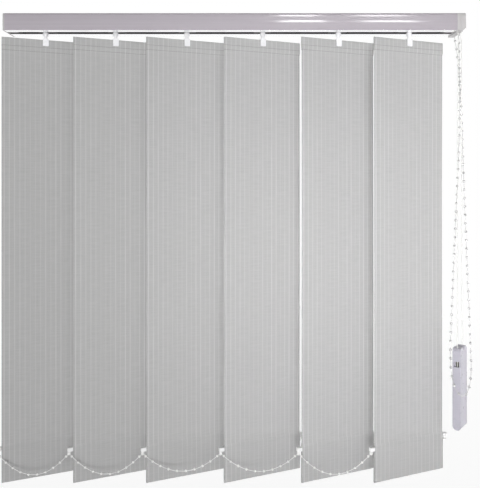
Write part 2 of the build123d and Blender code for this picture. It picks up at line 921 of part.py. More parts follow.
def carrier(x, is_lead):
    """A moulded carrier that glides on the rail's lips and holds a worm and a stem."""
    half = carrier_length / 2
    wing = half - wing_inset
    body = block(-half, half, carrier_front_y, carrier_back_y, carrier_bottom, carrier_top)
    body += block(
        -wing, wing, inner_front + wing_gap, inner_back - wing_gap, carrier_bottom, floor_top
    )
    body += rod_along_z(boss_radius, 0, stem_y, carrier_bottom - boss_drop, carrier_bottom)
    # The stem drops in from above: its gear turns in the pocket and its hub sits on the floor
    pocket = gear_tip + running_gap
    body -= rod_along_z(pocket, 0, stem_y, floor_top, carrier_top + overrun)
    bore = journal_radius + journal_play
    body -= rod_along_z(bore, 0, stem_y, carrier_bottom - boss_drop - overrun, floor_top)
    # The worm lies beside the stem, between two end walls that carry its journals
    tunnel = worm_length / 2 + worm_end_play
    body -= rod_along_x(worm_tip + running_gap, -tunnel, tunnel, rod_y, rod_level)
    worm_bore = worm_journal_radius + hub_play
    body -= rod_along_x(worm_bore, -half - overrun, half + overrun, rod_y, rod_level)
    # The spacer links pass along an open groove above the gear
    groove = link_width / 2 + running_gap
    body -= block(
        -half - overrun,
        half + overrun,
        stem_y - groove,
        stem_y + groove,
        link_floor(),
        carrier_top + overrun,
    )
    tab = link_thickness / 2 + link_play / 2
    tab_x = link_inset - half
    tab_half = link_width / 2 + link_play / 2
    body -= block(
        tab_x - tab, tab_x + tab, stem_y - tab_half, stem_y + tab_half, link_floor() - link_tab, link_floor()
    )
    if is_lead:
        body += cord_lug()
    return Pos(x, 0, 0) * body


def cord_lug():
    """The lead carrier's lug, which the traverse cord passes through."""
    low = cord_level - lug_height / 2
    lug = block(
        -lug_length / 2, lug_length / 2, cord_rear_y - lug_reach, carrier_front_y, low, low + lug_height
    )
    return lug - rod_along_x(cord_radius + cord_play, -lug_length, lug_length, cord_rear_y, cord_level)


def link_levels():
    """One level for each spacer link, the highest for the one nearest the return end."""
    count = len(pitch_shares)
    return [carrier_top - link_step * (index + 1) for index in range(count)]


def link_floor():
    """The floor of the carriers' link groove, below the lowest link."""
    return link_levels()[-1] - link_step


def spacer_link(x, level):
    """A spring-steel strip: its tab sits in its own carrier and it slides past the next."""
    start = link_inset - carrier_length / 2 - link_thickness / 2
    longest = max(pitch_shares) * mean_pitch
    end = longest + carrier_length / 2 + link_overrun
    half = link_width / 2
    low = level - link_thickness
    strip = block(start, end, stem_y - half, stem_y + half, low, level)
    strip = fillet(strip.edges().filter_by(Axis.Z).group_by(Axis.X)[-1], half / 2)
    tab_low = link_floor() - link_tab + link_play
    strip += block(start, start + link_thickness, stem_y - half, stem_y + half, tab_low, level)
    return Pos(x, 0, 0) * strip


def all_nodes():
    places = carrier_places()
    guide_front, guide_rear = guide_pulleys()
    nodes = {
        "head_rail": head_rail(),
        "ceiling_clips": ceiling_clips(),
        "return_end_cap": return_end_cap(),
        "control_housing": control_housing(),
        "pulley_pins": pulley_pins(),
        "guide_pulley_front": guide_front,
        "guide_pulley_rear": guide_rear,
        "return_pulley": return_pulley(),
        "weight_pulley": weight_pulley(),
        "cord_weight_front": cord_weight_half(-1),
        "cord_weight_back": cord_weight_half(1),
        "pull_cord": pull_cord(),
        "rail_cord": rail_cord(),
        "control_chain": control_chain(),
        "tilt_rod": tilt_rod(),
        "chain_wheel": chain_wheel(),
        "front_bottom_chain": bottom_chain(-1),
        "rear_bottom_chain": bottom_chain(1),
    }
    for index, x in enumerate(places):
        number = index + 1
        nodes[f"carrier_{number}"] = carrier(x, number == len(places))
        nodes[f"worm_{number}"] = worm(x)
        nodes[f"stem_hook_{number}"] = stem_hook(x)
        nodes[f"vane_{number}"] = vane(x)
        nodes[f"vane_hanger_{number}"] = vane_hanger(x)
        nodes[f"bottom_weight_{number}"] = bottom_weight(x)
    for index, level in enumerate(link_levels()):
        nodes[f"spacer_link_{index + 1}"] = spacer_link(places[index], level)
    return nodes


def main():
    os.makedirs("parts", exist_ok=True)
    for name, shape in all_nodes().items():
        export_step(shape, f"parts/{name}.step")


main()
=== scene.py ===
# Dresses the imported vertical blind: cloth vanes, cords, bead chains, finishes, light and camera.
# Everything is in metres, in the blind's own frame: X along the rail, -Y to the room, Z up.
import json
import math

import bmesh
import bpy
from mathutils import Matrix, Vector

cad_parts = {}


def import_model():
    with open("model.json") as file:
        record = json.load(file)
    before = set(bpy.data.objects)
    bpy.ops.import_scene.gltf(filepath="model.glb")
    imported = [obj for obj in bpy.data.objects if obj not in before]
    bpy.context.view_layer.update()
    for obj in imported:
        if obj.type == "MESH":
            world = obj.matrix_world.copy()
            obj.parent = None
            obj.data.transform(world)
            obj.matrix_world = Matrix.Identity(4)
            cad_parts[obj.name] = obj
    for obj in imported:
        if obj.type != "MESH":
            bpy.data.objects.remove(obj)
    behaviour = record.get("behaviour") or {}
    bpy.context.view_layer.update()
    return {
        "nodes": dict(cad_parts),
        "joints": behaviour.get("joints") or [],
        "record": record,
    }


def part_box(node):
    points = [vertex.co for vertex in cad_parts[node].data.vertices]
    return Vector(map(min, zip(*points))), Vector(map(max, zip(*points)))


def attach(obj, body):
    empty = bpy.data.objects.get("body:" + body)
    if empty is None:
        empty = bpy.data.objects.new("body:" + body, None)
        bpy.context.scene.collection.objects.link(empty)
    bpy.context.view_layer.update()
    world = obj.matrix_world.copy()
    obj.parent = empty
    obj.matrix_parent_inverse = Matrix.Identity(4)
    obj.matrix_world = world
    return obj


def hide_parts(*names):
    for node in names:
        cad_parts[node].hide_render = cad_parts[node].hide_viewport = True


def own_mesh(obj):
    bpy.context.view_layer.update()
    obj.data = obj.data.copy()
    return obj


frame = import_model()
joints = {joint["name"]: joint for joint in frame["joints"]}

# Camera: level, looking straight at the blind, a little below the rail
CAMERA_PLACE = (0.00865, -0.9314, -0.2447)
CAMERA_TURN = (math.radians(90), 0.0, 0.0)
CAMERA_LENS = 45.0
CAMERA_SENSOR = 36.0
CAMERA_SHIFT = -0.1456

# Rail: its hollow, across and upright, its underside and the skin of its lips
RAIL_INNER_Y = (-0.0204, 0.0210)
RAIL_INNER_Z = (-0.0261, -0.0012)
RAIL_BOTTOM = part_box("head_rail")[0][2]
LIP_SKIN = 0.0002

# Vanes: the strip, its folded pockets and seams, its stripes and stitches
VANE_COUNT = 6
VANE_WIDTH = 0.127
REST_TILT = math.radians(21.4)
FABRIC = 0.0005
TOP_POCKET = 0.016
TOP_POCKET_HALF = 0.00125
TOP_WALL_SHARES = (0.0, 0.3, 0.7, 1.0)
BOTTOM_POCKET = 0.0555
BOTTOM_POCKET_HALF = 0.00155
BOTTOM_WALL_SHARES = (0.0, 0.1, 0.3, 0.6, 0.9, 1.0)
SEAM_BAND = 0.0045
SEAM_STEP = 0.0001
STRIPE_PERIOD = 0.0075
TOP_SEAMS = (0.0122, 0.0192)
SEAM_HALF = 0.0006
STITCH_PERIOD = 0.0028

# The vanes' slight bow: its depth, and its angles across, up and from vane to vane
VANE_BOW = 0.0009
BOW_ACROSS = 2.0
BOW_UP = 2.0
BOW_SHIFT = 1.7

# Bead chains and cord
BEAD_RADIUS = 0.002
SWAG_BEAD_RADIUS = 0.00185
BEAD_PITCH = 0.013
THREAD_RADIUS = 0.0004
CORD_RADIUS = 0.0006
SWAG_LENGTH = 0.134
SWAG_BEADS = 10
CONNECTOR_RADIUS = 0.0024
CONNECTOR_HEIGHT = 0.0046
WHEEL_RADIUS = 0.00919

# Fineness of the meshes, in steps, sides or subdivisions
VANE_COLUMNS = 40
VANE_ROWS = 60
FOLD_STEPS = 8
SWAG_STEPS = 60
WHEEL_STEPS = 12
CURVE_STEPS = 12
CURVE_ROUND = 3
TUBE_SIDES = 8
BEAD_SUBDIVISIONS = 3
CONNECTOR_SIDES = 24

# The control chain's route below the rail, from the room side strand to the window side one
CHAIN_ROUTE = [
    (0.3476, -0.0018, -0.0283),
    (0.3482, -0.0014, -0.0520),
    (0.3488, -0.0016, -0.0950),
    (0.3480, -0.0040, -0.1500),
    (0.3462, -0.0065, -0.2050),
    (0.3430, -0.0088, -0.2600),
    (0.3392, -0.0115, -0.3180),
    (0.3354, -0.0150, -0.3750),
    (0.3318, -0.0185, -0.4300),
    (0.3286, -0.0220, -0.4780),
    (0.3262, -0.0245, -0.5200),
    (0.3269, -0.0285, -0.5500),
    (0.3315, -0.0335, -0.5685),
    (0.3386, -0.0360, -0.5765),
    (0.3460, -0.0350, -0.5760),
    (0.3530, -0.0295, -0.5670),
    (0.3590, -0.0215, -0.5530),
    (0.3618, -0.0150, -0.5280),
    (0.3614, -0.0115, -0.4880),
    (0.3608, -0.0075, -0.4400),
    (0.3603, -0.0035, -0.3900),
    (0.3593, 0.0000, -0.3350),
    (0.3580, 0.0029, -0.2780),
    (0.3568, 0.0056, -0.2200),
    (0.3560, 0.0080, -0.1650),
    (0.3550, 0.0102, -0.1160),
    (0.3528, 0.0126, -0.0740),
    (0.3496, 0.0152, -0.0440),
    (0.3476, 0.0165, -0.0283),
]

# The pull cord's route: down to the weight's pulley, round it and up again
CORD_ROUTE = [
    (0.34080, -0.01760, -0.0283),
    (0.34070, -0.01780, -0.0355),
    (0.33755, -0.02380, -0.5246),
    (0.33749, -0.02386, -0.5320),
    (0.33749, -0.02386, -0.5363),
    (0.34137, -0.01908, -0.5425),
    (0.34683, -0.01232, -0.5425),
    (0.35071, -0.00754, -0.5363),
    (0.35071, -0.00754, -0.5320),
    (0.35067, -0.00760, -0.5246),
    (0.34715, -0.01370, -0.0355),
    (0.34710, -0.01380, -0.0283),
]

# Ranges that materials map from and to. Most of a noise's values lie in its range.
RISING = (0.0, 1.0)
FALLING = (1.0, 0.0)
NOISE_RANGE = (0.3, 0.7)

# Cloth: colours, grains in turns a metre along X, Y and Z, and strengths
CLOTH_DARK = (0.405, 0.403, 0.403)
CLOTH_LIGHT = (0.455, 0.453, 0.453)
WARP_COLOUR = (0.50, 0.498, 0.498)
STRIPE_COLOUR = (0.56, 0.558, 0.558)
# Painted shade: the darker grey that the bottom pocket is mixed towards
POCKET_SHADE_COLOUR = (0.30, 0.30, 0.30)
STITCH_COLOUR = (0.24, 0.24, 0.24)
SLUB_GRAIN = (45.0, 45.0, 650.0)
WARP_GRAIN = (1800.0, 1800.0, 30.0)
BREAK_GRAIN = (130.0, 130.0, 14.0)
WEFT_WEAVE = (300.0, 300.0, 2600.0)
WARP_WEAVE = (2600.0, 2600.0, 300.0)
WARP_RANGE = (0.35, 0.65)
WARP_SHARES = (0.0, 0.35)
STRIPE_EDGES = (0.05, 0.12)
STRIPE_SHARES = (0.35, 1.0)
BREAK_RANGE = (0.3, 0.6)
BREAK_SHARES = (0.5, 1.0)
POCKET_EDGES = (0.0, 0.05)
POCKET_SHARES = (0.0, 0.10)
STITCH_EDGES = (0.3, 0.4)
STITCH_GAP_SHARES = (1.0, 0.45)
STITCH_SHARES = (0.0, 0.55)
SEAM_DEPTH = 3.0
CLOTH_RELIEF = 0.00012
CLOTH_BUMP = 0.5
CLOTH_ROUGHNESS = 0.9
CLOTH_GLOSS = 0.15

# Rail lacquer and its coat, painted shade in the dark hollow and painted light on the bright lips
LACQUER_DARK = (0.345, 0.312, 0.350)
LACQUER_LIGHT = (0.385, 0.349, 0.390)
LACQUER_GLOSS = 0.35
LACQUER_ROUGHNESS = (0.42, 0.55)
LACQUER_RELIEF = 0.00001
LACQUER_BUMP = 0.3
COAT_IOR = 1.8
COAT_ROUGHNESS = 0.09
# Painted shade: the near black of the hollow inside the rail
HOLLOW_SHADE_COLOUR = (0.012, 0.012, 0.013)
# Painted light: the near-white colour of the thin skin under the lips
LIP_LIGHT_COLOUR = (0.97, 0.97, 0.98)
LIP_POLISH = 0.3

# Drawn metal: colour and roughness of each slot, and what they share
METALS = {
    "clip_steel": ((0.62, 0.62, 0.64), 0.35),
    "pin_steel": ((0.62, 0.62, 0.64), 0.3),
    "rod_aluminium": ((0.66, 0.66, 0.67), 0.35),
    "link_steel": ((0.66, 0.66, 0.68), 0.3),
}
DRAWN_GRAIN = (3.0, 1400.0, 1400.0)
DRAWN_DETAIL = 4.0
METAL_SHADE = 0.9
METAL_SMOOTHER = 0.05
METAL_ROUGHER = 0.08
METAL_RELIEF = 0.00002
METAL_BUMP = 0.35

# Moulded plastic: colour and roughness of each slot, and what they share
PLASTICS = {
    "cap_plastic": ((0.50, 0.487, 0.49), 0.35),
    # Painted shade: the pulleys are dark olive, so the window in the weight reads as a dark opening
    "pulley_plastic": ((0.075, 0.068, 0.040), 0.45),
    "weight_plastic": ((0.45, 0.436, 0.495), 0.32),
    # Painted shade: the carriers and worms are near black, so the slot under the rail reads dark
    "carrier_plastic": ((0.050, 0.050, 0.053), 0.5),
    "hook_plastic": ((0.86, 0.86, 0.88), 0.3),
    "hanger_plastic": ((0.78, 0.77, 0.80), 0.45),
    "weight_plate": ((0.84, 0.84, 0.84), 0.4),
    "chain_white": ((0.86, 0.86, 0.85), 0.25),
    "chain_clear": ((0.56, 0.56, 0.56), 0.22),
}
MOULD_SHADE = 0.93
MOULD_ROUGH_SPAN = 0.06
MOULD_TONE_GRAIN = (60.0, 60.0, 35.0)
MOULD_PATCH_GRAIN = (220.0, 220.0, 220.0)
MOULD_GRAIN = (900.0, 900.0, 900.0)
MOULD_DETAIL = 2.0
MOULD_RELIEF = 0.00003
MOULD_BUMP = 0.4

# Braided cord
CORD_COLOUR = (0.82, 0.82, 0.80)
CORD_SHADE = 0.86
CORD_ROUGHNESS = 0.8
CORD_GLOSS = 0.2
BRAID_GRAIN = (1500.0, 1500.0, 700.0)
BRAID_DETAIL = 2.0
BRAID_RANGE = (0.35, 0.65)
BRAID_RELIEF = 0.0001
BRAID_BUMP = 0.6

# Room: white all round, darker straight above, and a pale floor that turns white further out
WHITE = (1.0, 1.0, 1.0, 1.0)
WORLD_LIGHT = 0.42
SKY_FADE = (0.42, 0.80)
SKY_SHARES = (1.0, 0.25)
FLOOR_COLOUR = (0.88, 0.88, 0.88, 1.0)
FLOOR_LEVEL = -0.80
FLOOR_SIZE = 8.0
FLOOR_FADE = (0.5, 1.6)
FLOOR_GLOW_SHARES = (0.90, 1.0)

# Lamps: a broad low key in front, one behind, and two for the control end
BLIND_MIDDLE = (0.0, 0.0, -0.35)
LAMPS = {
    "key": {
        "place": (-0.40, -2.7, -0.75),
        "target": BLIND_MIDDLE,
        "size": (1.8, 1.2),
        "power": 60.0,
    },
    "back": {
        "place": (-0.80, 2.7, -0.20),
        "target": BLIND_MIDDLE,
        "size": (1.8, 1.2),
        "power": 26.0,
    },
    "control_end": {
        "place": (-0.10, -1.5, -0.55),
        "target": (0.27, 0.0, -0.35),
        "size": (0.5, 0.5),
        "power": 0.85,
    },
    "side": {
        "place": (1.40, 0.35, -0.45),
        "target": (0.34, 0.0, -0.45),
        "size": (0.5, 0.5),
        "power": 9.0,
    },
}
CONTROL_END_SPREAD = math.radians(40)

# Four more that shine back from the rail's ridge and its top edge: levels, places and widths along X
STRIP_LEVELS = {"ridge": 0.53, "edge": 1.06}
STRIP_SPANS = {"left": (0.31, 0.20), "right": (0.73, 0.26)}
STRIP_HEIGHT = 0.33
STRIP_Y = -2.0
STRIP_POWER = 1.9
STRIP_TARGET = (0.15, 0.0, -0.01)


def joint_place(name):
    return Vector(joints[name]["pos_m"])


def link_object(name, data):
    piece = bpy.data.objects.new(name, data)
    bpy.context.scene.collection.objects.link(piece)
    return piece


# Meshes


def mesh_object(name, work):
    """An object from a bmesh, with smooth faces."""
    mesh = bpy.data.meshes.new(name)
    bmesh.ops.recalc_face_normals(work, faces=work.faces)
    work.to_mesh(mesh)
    work.free()
    for face in mesh.polygons:
        face.use_smooth = True
    return link_object(name, mesh)


def apply_modifiers(piece):
    """Turns a piece's modifiers into its own mesh."""
    graph = bpy.context.evaluated_depsgraph_get()
    mesh = bpy.data.meshes.new_from_object(piece.evaluated_get(graph))
    piece.modifiers.clear()
    piece.data = mesh


def add_faces(work, rows, closed):
    """Faces between neighbouring rows of points, which are rings where closed."""
    for first, second in zip(rows, rows[1:]):
        sides = list(zip(range(len(first)), range(1, len(first))))
        if closed:
            sides.append((len(first) - 1, 0))
        for left, right in sides:
            work.faces.new((first[left], first[right], second[right], second[left]))


def add_tube(work, points, radius, side):
    """A thin tube along points in the plane that the side direction stands on."""
    rings = []
    for index, point in enumerate(points):
        before = points[max(index - 1, 0)]
        after = points[min(index + 1, len(points) - 1)]
        lift = (after - before).normalized().cross(side)
        ring = []
        for turn in range(TUBE_SIDES):
            angle = 2 * math.pi * turn / TUBE_SIDES
            out = math.cos(angle) * side + math.sin(angle) * lift
            ring.append(work.verts.new(point + radius * out))
        rings.append(ring)
    add_faces(work, rings, closed=True)
    work.faces.new(rings[0])
    work.faces.new(list(reversed(rings[-1])))


def line_length(points):
    return sum(math.dist(start, end) for start, end in zip(points, points[1:]))


def along(points, pitch, first):
    """Points at even distances along a line of points."""
    places = []
    goal = first
    gone = 0.0
    for start, end in zip(points, points[1:]):
        step = (end - start).length
        while step > 0 and goal <= gone + step:
            places.append(start.lerp(end, (goal - gone) / step))
            goal += pitch
        gone += step
    return places


def add_beads(work, line, count, radius):
    """Beads at even distances along a line, with half a distance at each end."""
    pitch = line_length(line) / count
    for place in along(line, pitch, pitch / 2):
        spot = Matrix.Translation(place)
        bmesh.ops.create_icosphere(work, subdivisions=BEAD_SUBDIVISIONS, radius=radius, matrix=spot)


# Materials


class Nodes:
    """A tree of shader nodes, with short ways to add to it."""

    def __init__(self, tree):
        self.tree = tree

    def node(self, kind, **settings):
        made = self.tree.nodes.new(kind)
        for key, value in settings.items():
            setattr(made, key, value)
        return made

    def link(self, source, target):
        self.tree.links.new(source, target)

    def coordinates(self, kind="Object"):
        """The piece's own coordinates, in metres, or another kind of them."""
        return self.node("ShaderNodeTexCoord").outputs[kind]

    def axis(self, name, kind="Object"):
        """One of the coordinates."""
        parts = self.node("ShaderNodeSeparateXYZ")
        self.link(self.coordinates(kind), parts.inputs["Vector"])
        return parts.outputs[name]

    def math(self, operation, first, second=None):
        made = self.node("ShaderNodeMath", operation=operation)
        for socket, value in zip(made.inputs, (first, second)):
            if value is None:
                continue
            if isinstance(value, (int, float)):
                socket.default_value = value
            else:
                self.link(value, socket)
        return made.outputs["Value"]

    def spread(self, source, old, new):
        """Maps a range of values to another one, clamped."""
        made = self.node("ShaderNodeMapRange")
        self.link(source, made.inputs["Value"])
        for key, value in zip(("From Min", "From Max", "To Min", "To Max"), (*old, *new)):
            made.inputs[key].default_value = value
        return made.outputs["Result"]

    def seen_rays(self):
        """1 for the rays that see the background: camera, glossy and transmission rays."""
        rays = self.node("ShaderNodeLightPath")
        total = rays.outputs["Is Camera Ray"]
        for key in ("Is Glossy Ray", "Is Transmission Ray"):
            total = self.math("MAXIMUM", total, rays.outputs[key])
        return total


class Recipe(Nodes):
    """A material under construction, with its main shader."""

    def __init__(self, name):
        self.material = bpy.data.materials.new(name)
        self.material.use_nodes = True
        super().__init__(self.material.node_tree)
        self.shader = self.tree.nodes["Principled BSDF"]

    def set(self, **values):
        """Sets constants on the main shader's own sockets."""
        for key, value in values.items():
            self.shader.inputs[key.replace("_", " ")].default_value = value

    def band(self, source, middle, half):
        """1 on a line where the source has its middle value, fading to 0 at half the width."""
        away = self.math("ABSOLUTE", self.math("SUBTRACT", source, middle))
        return self.spread(away, (half / 2, half), FALLING)

    def window(self, source, limits):
        """1 where the source lies between two limits."""
        above = self.math("GREATER_THAN", source, limits[0])
        return self.math("MULTIPLY", above, self.math("LESS_THAN", source, limits[1]))

    def repeat(self, source, period):
        """How far the source is from the nearest step of a period, and the step's number."""
        turns = self.math("MULTIPLY", source, 1.0 / period)
        number = self.math("FLOOR", self.math("ADD", turns, 0.5))
        return self.math("ABSOLUTE", self.math("SUBTRACT", turns, number)), number

    def noise(self, grain, detail=3.0):
        """Noise with a number of turns a metre along each of the piece's axes."""
        stretch = self.node("ShaderNodeMapping")
        stretch.inputs["Scale"].default_value = grain
        self.link(self.coordinates(), stretch.inputs["Vector"])
        texture = self.node("ShaderNodeTexNoise")
        texture.inputs["Scale"].default_value = 1.0
        texture.inputs["Detail"].default_value = detail
        self.link(stretch.outputs["Vector"], texture.inputs["Vector"])
        return texture.outputs["Fac"]

    def mix(self, share, first, second):
        """Blends two colours, or outputs, by a share."""
        made = self.node("ShaderNodeMix", data_type="RGBA")
        self.link(share, made.inputs["Factor"])
        sockets = [socket for socket in made.inputs if socket.type == "RGBA"]
        for socket, value in zip(sockets, (first, second)):
            if isinstance(value, tuple):
                socket.default_value = (*value, 1.0)
            else:
                self.link(value, socket)
        return next(socket for socket in made.outputs if socket.type == "RGBA")

    def bump(self, height, distance, strength):
        made = self.node("ShaderNodeBump")
        made.inputs["Distance"].default_value = distance
        made.inputs["Strength"].default_value = strength
        self.link(height, made.inputs["Height"])
        self.link(made.outputs["Normal"], self.shader.inputs["Normal"])

    def colour(self, source):
        self.link(source, self.shader.inputs["Base Color"])

    def roughness(self, source):
        self.link(source, self.shader.inputs["Roughness"])


def shaded(colour, share):
    return tuple(share * part for part in colour)


def stripe_share(look, x):
    """1 on the light pinstripes, each with a strength of its own and broken along its length."""
    away, number = look.repeat(x, STRIPE_PERIOD)
    line = look.spread(away, STRIPE_EDGES, FALLING)
    chance = look.node("ShaderNodeTexWhiteNoise", noise_dimensions="1D")
    look.link(number, chance.inputs["W"])
    strength = look.spread(chance.outputs["Value"], RISING, STRIPE_SHARES)
    broken = look.spread(look.noise(BREAK_GRAIN), BREAK_RANGE, BREAK_SHARES)
    return look.math("MULTIPLY", look.math("MULTIPLY", line, strength), broken)


def seam_share(look, x, z, top):
    """1 on the stitches of the two seams below the top edge, and less between the stitches."""
    stitches = look.spread(look.repeat(x, STITCH_PERIOD)[0], STITCH_EDGES, STITCH_GAP_SHARES)
    upper, lower = [look.band(z, top - depth, SEAM_HALF) for depth in TOP_SEAMS]
    return look.math("MULTIPLY", look.math("MAXIMUM", upper, lower), stitches)


def fabric_material():
    """Grey woven cloth with light pinstripes, stitched seams and painted shade over the bottom pocket.
    """
    look = Recipe("vane_fabric")
    look.set(Roughness=CLOTH_ROUGHNESS, Specular_IOR_Level=CLOTH_GLOSS)
    x = look.axis("X")
    z = look.axis("Z")
    low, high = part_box("vane_1")
    stripe = stripe_share(look, x)
    seam = seam_share(look, x, z, high[2])
    # Painted shade: the bottom pocket is mixed a little towards a darker grey
    pocket_shade = look.band(z, low[2], BOTTOM_POCKET)
    cloth = look.mix(look.spread(look.noise(SLUB_GRAIN), NOISE_RANGE, RISING), CLOTH_DARK, CLOTH_LIGHT)
    cloth = look.mix(look.spread(look.noise(WARP_GRAIN), WARP_RANGE, WARP_SHARES), cloth, WARP_COLOUR)
    cloth = look.mix(stripe, cloth, STRIPE_COLOUR)
    cloth = look.mix(look.spread(pocket_shade, POCKET_EDGES, POCKET_SHARES), cloth, POCKET_SHADE_COLOUR)
    look.colour(look.mix(look.spread(seam, RISING, STITCH_SHARES), cloth, STITCH_COLOUR))
    weave = look.math("ADD", look.noise(WEFT_WEAVE), look.noise(WARP_WEAVE))
    raised = look.math("ADD", weave, stripe)
    sunk = look.math("MULTIPLY", seam, SEAM_DEPTH)
    look.bump(look.math("SUBTRACT", raised, sunk), CLOTH_RELIEF, CLOTH_BUMP)
    return look.material


def rail_material():
    """Satin lavender lacquer over extruded lines, with painted shade dark inside and painted light on
    the bright lips underneath.
    """
    look = Recipe("rail_aluminium")
    look.set(Specular_IOR_Level=LACQUER_GLOSS)
    look.set(Coat_Weight=1.0, Coat_IOR=COAT_IOR, Coat_Roughness=COAT_ROUGHNESS)
    z = look.axis("Z")
    lines = look.noise(DRAWN_GRAIN, DRAWN_DETAIL)
    lacquer = look.mix(look.spread(lines, NOISE_RANGE, RISING), LACQUER_DARK, LACQUER_LIGHT)
    # Painted shade: the hollow inside the rail is coloured near black
    across = look.window(look.axis("Y"), RAIL_INNER_Y)
    hollow_shade = look.math("MULTIPLY", across, look.window(z, RAIL_INNER_Z))
    lacquer = look.mix(hollow_shade, lacquer, HOLLOW_SHADE_COLOUR)
    # Painted light: a thin skin on the underside is near white, metallic and smoother, so the lips
    # read as lit
    lit_underside = look.spread(z, (RAIL_BOTTOM, RAIL_BOTTOM + LIP_SKIN), FALLING)
    look.colour(look.mix(lit_underside, lacquer, LIP_LIGHT_COLOUR))
    look.link(lit_underside, look.shader.inputs["Metallic"])
    rough = look.spread(lines, NOISE_RANGE, LACQUER_ROUGHNESS)
    look.roughness(look.math("SUBTRACT", rough, look.math("MULTIPLY", lit_underside, LIP_POLISH)))
    look.bump(lines, LACQUER_RELIEF, LACQUER_BUMP)
    return look.material


def metal_material(name, colour, rough):
    """Drawn metal with fine lines along the rail."""
    look = Recipe(name)
    look.set(Metallic=1.0)
    lines = look.noise(DRAWN_GRAIN, DRAWN_DETAIL)
    look.colour(look.mix(look.spread(lines, NOISE_RANGE, RISING), shaded(colour, METAL_SHADE), colour))
    look.roughness(look.spread(lines, NOISE_RANGE, (rough - METAL_SMOOTHER, rough + METAL_ROUGHER)))
    look.bump(lines, METAL_RELIEF, METAL_BUMP)
    return look.material


def moulded_material(name, colour, rough):
    """Moulded plastic with a faint uneven tone and a fine surface grain."""
    look = Recipe(name)
    tone = look.spread(look.noise(MOULD_TONE_GRAIN), NOISE_RANGE, RISING)
    look.colour(look.mix(tone, shaded(colour, MOULD_SHADE), colour))
    limits = (rough - MOULD_ROUGH_SPAN, rough + MOULD_ROUGH_SPAN)
    look.roughness(look.spread(look.noise(MOULD_PATCH_GRAIN), NOISE_RANGE, limits))
    look.bump(look.noise(MOULD_GRAIN, MOULD_DETAIL), MOULD_RELIEF, MOULD_BUMP)
    return look.material


def cord_material():
    """White braided cord."""
    look = Recipe("cord_white")
    look.set(Roughness=CORD_ROUGHNESS, Specular_IOR_Level=CORD_GLOSS)
    braid = look.noise(BRAID_GRAIN, BRAID_DETAIL)
    tone = look.spread(braid, BRAID_RANGE, RISING)
    look.colour(look.mix(tone, shaded(CORD_COLOUR, CORD_SHADE), CORD_COLOUR))
    look.bump(braid, BRAID_RELIEF, BRAID_BUMP)
    return look.material


def all_materials():
    """The material of every slot."""
    made = {
        "vane_fabric": fabric_material(),
        "rail_aluminium": rail_material(),
        "cord_white": cord_material(),
    }
    for name, (colour, rough) in METALS.items():
        made[name] = metal_material(name, colour, rough)
    for name, (colour, rough) in PLASTICS.items():
        made[name] = moulded_material(name, colour, rough)
    return made


materials = all_materials()


def finish_piece(piece, slot, body):
    """Gives a new piece the material of its slot and the body that it rides on."""
    piece.data.materials.clear()
    piece.data.materials.append(materials[slot])
    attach(piece, body)


def paint_frame():
    """Gives every CAD node the material of its slot."""
    for part in frame["record"]["subparts"]:
        mesh = frame["nodes"][part["node"]].data
        mesh.materials.clear()
        mesh.materials.append(materials[part["material_slot"]])


# Cords


def route_curve(name, route, radius):
    """A smooth tube along a route."""
    data = bpy.data.curves.new(name, "CURVE")
    data.dimensions = "3D"
    data.resolution_u = CURVE_STEPS
    data.bevel_depth = radius
    data.bevel_resolution = CURVE_ROUND
    spline = data.splines.new("NURBS")
    spline.points.add(len(route) - 1)
    for point, place in zip(spline.points, route):
        point.co = (*place, 1.0)
    spline.use_endpoint_u = True
    spline.order_u = 3
    return link_object(name, data)


def route_line(curve):
    """The points of a curve's own line, without its thickness."""
    plain = curve.data.copy()
    plain.bevel_depth = 0.0
    helper = link_object("route_helper", plain)
    bpy.context.view_layer.update()
    graph = bpy.context.evaluated_depsgraph_get()
    mesh = bpy.data.meshes.new_from_object(helper.evaluated_get(graph))
    points = [vertex.co.copy() for vertex in mesh.vertices]
    bpy.data.objects.remove(helper)
    bpy.data.meshes.remove(mesh)
    bpy.data.curves.remove(plain)
    return points


def pull_cord():
    """The cord's two strands, which carry the weight."""
    cord = route_curve("pull_cord_line", CORD_ROUTE, CORD_RADIUS)
    finish_piece(cord, "cord_white", "rail")
    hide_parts("pull_cord")


def wheel_turn(foot, head):
    """The chain's hidden way: up from one outlet, over the bead wheel and down to the other."""
    axle = joint_place("rod_turn")
    middle = Vector((foot[0], axle.y, axle.z))
    points = [Vector(foot)]
    for step in range(WHEEL_STEPS + 1):
        angle = math.pi * step / WHEEL_STEPS
        out = Vector((0.0, math.cos(angle), math.sin(angle)))
        points.append(middle + WHEEL_RADIUS * out)
    points.append(Vector(head))
    return points


def control_chain():
    """The endless bead chain: its hanging thread, and its beads with the thread over the wheel."""
    thread = route_curve("control_chain_thread", CHAIN_ROUTE, THREAD_RADIUS)
    finish_piece(thread, "chain_clear", "rail")
    hidden = wheel_turn(CHAIN_ROUTE[-1], CHAIN_ROUTE[0])
    loop = hidden + route_line(thread)
    work = bmesh.new()
    add_tube(work, hidden, THREAD_RADIUS, Vector((1.0, 0.0, 0.0)))
    add_beads(work, loop, round(line_length(loop) / BEAD_PITCH), BEAD_RADIUS)
    beads = mesh_object("control_chain_beads", work)
    finish_piece(beads, "chain_clear", "rail")
    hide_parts("control_chain")


# Vanes


def pocket(half, hem, fold, shares):
    """A pocket's line: along one wall from the hem, round the fold and back along the other wall."""
    there = [(half, hem + share * (fold - hem)) for share in shares]
    back = [(-across, z) for across, z in reversed(there)]
    radius = math.copysign(half, fold - hem)
    turn = []
    for step in range(1, FOLD_STEPS):
        angle = math.pi * step / FOLD_STEPS
        turn.append((half * math.cos(angle), fold + radius * math.sin(angle)))
    return there + turn + back


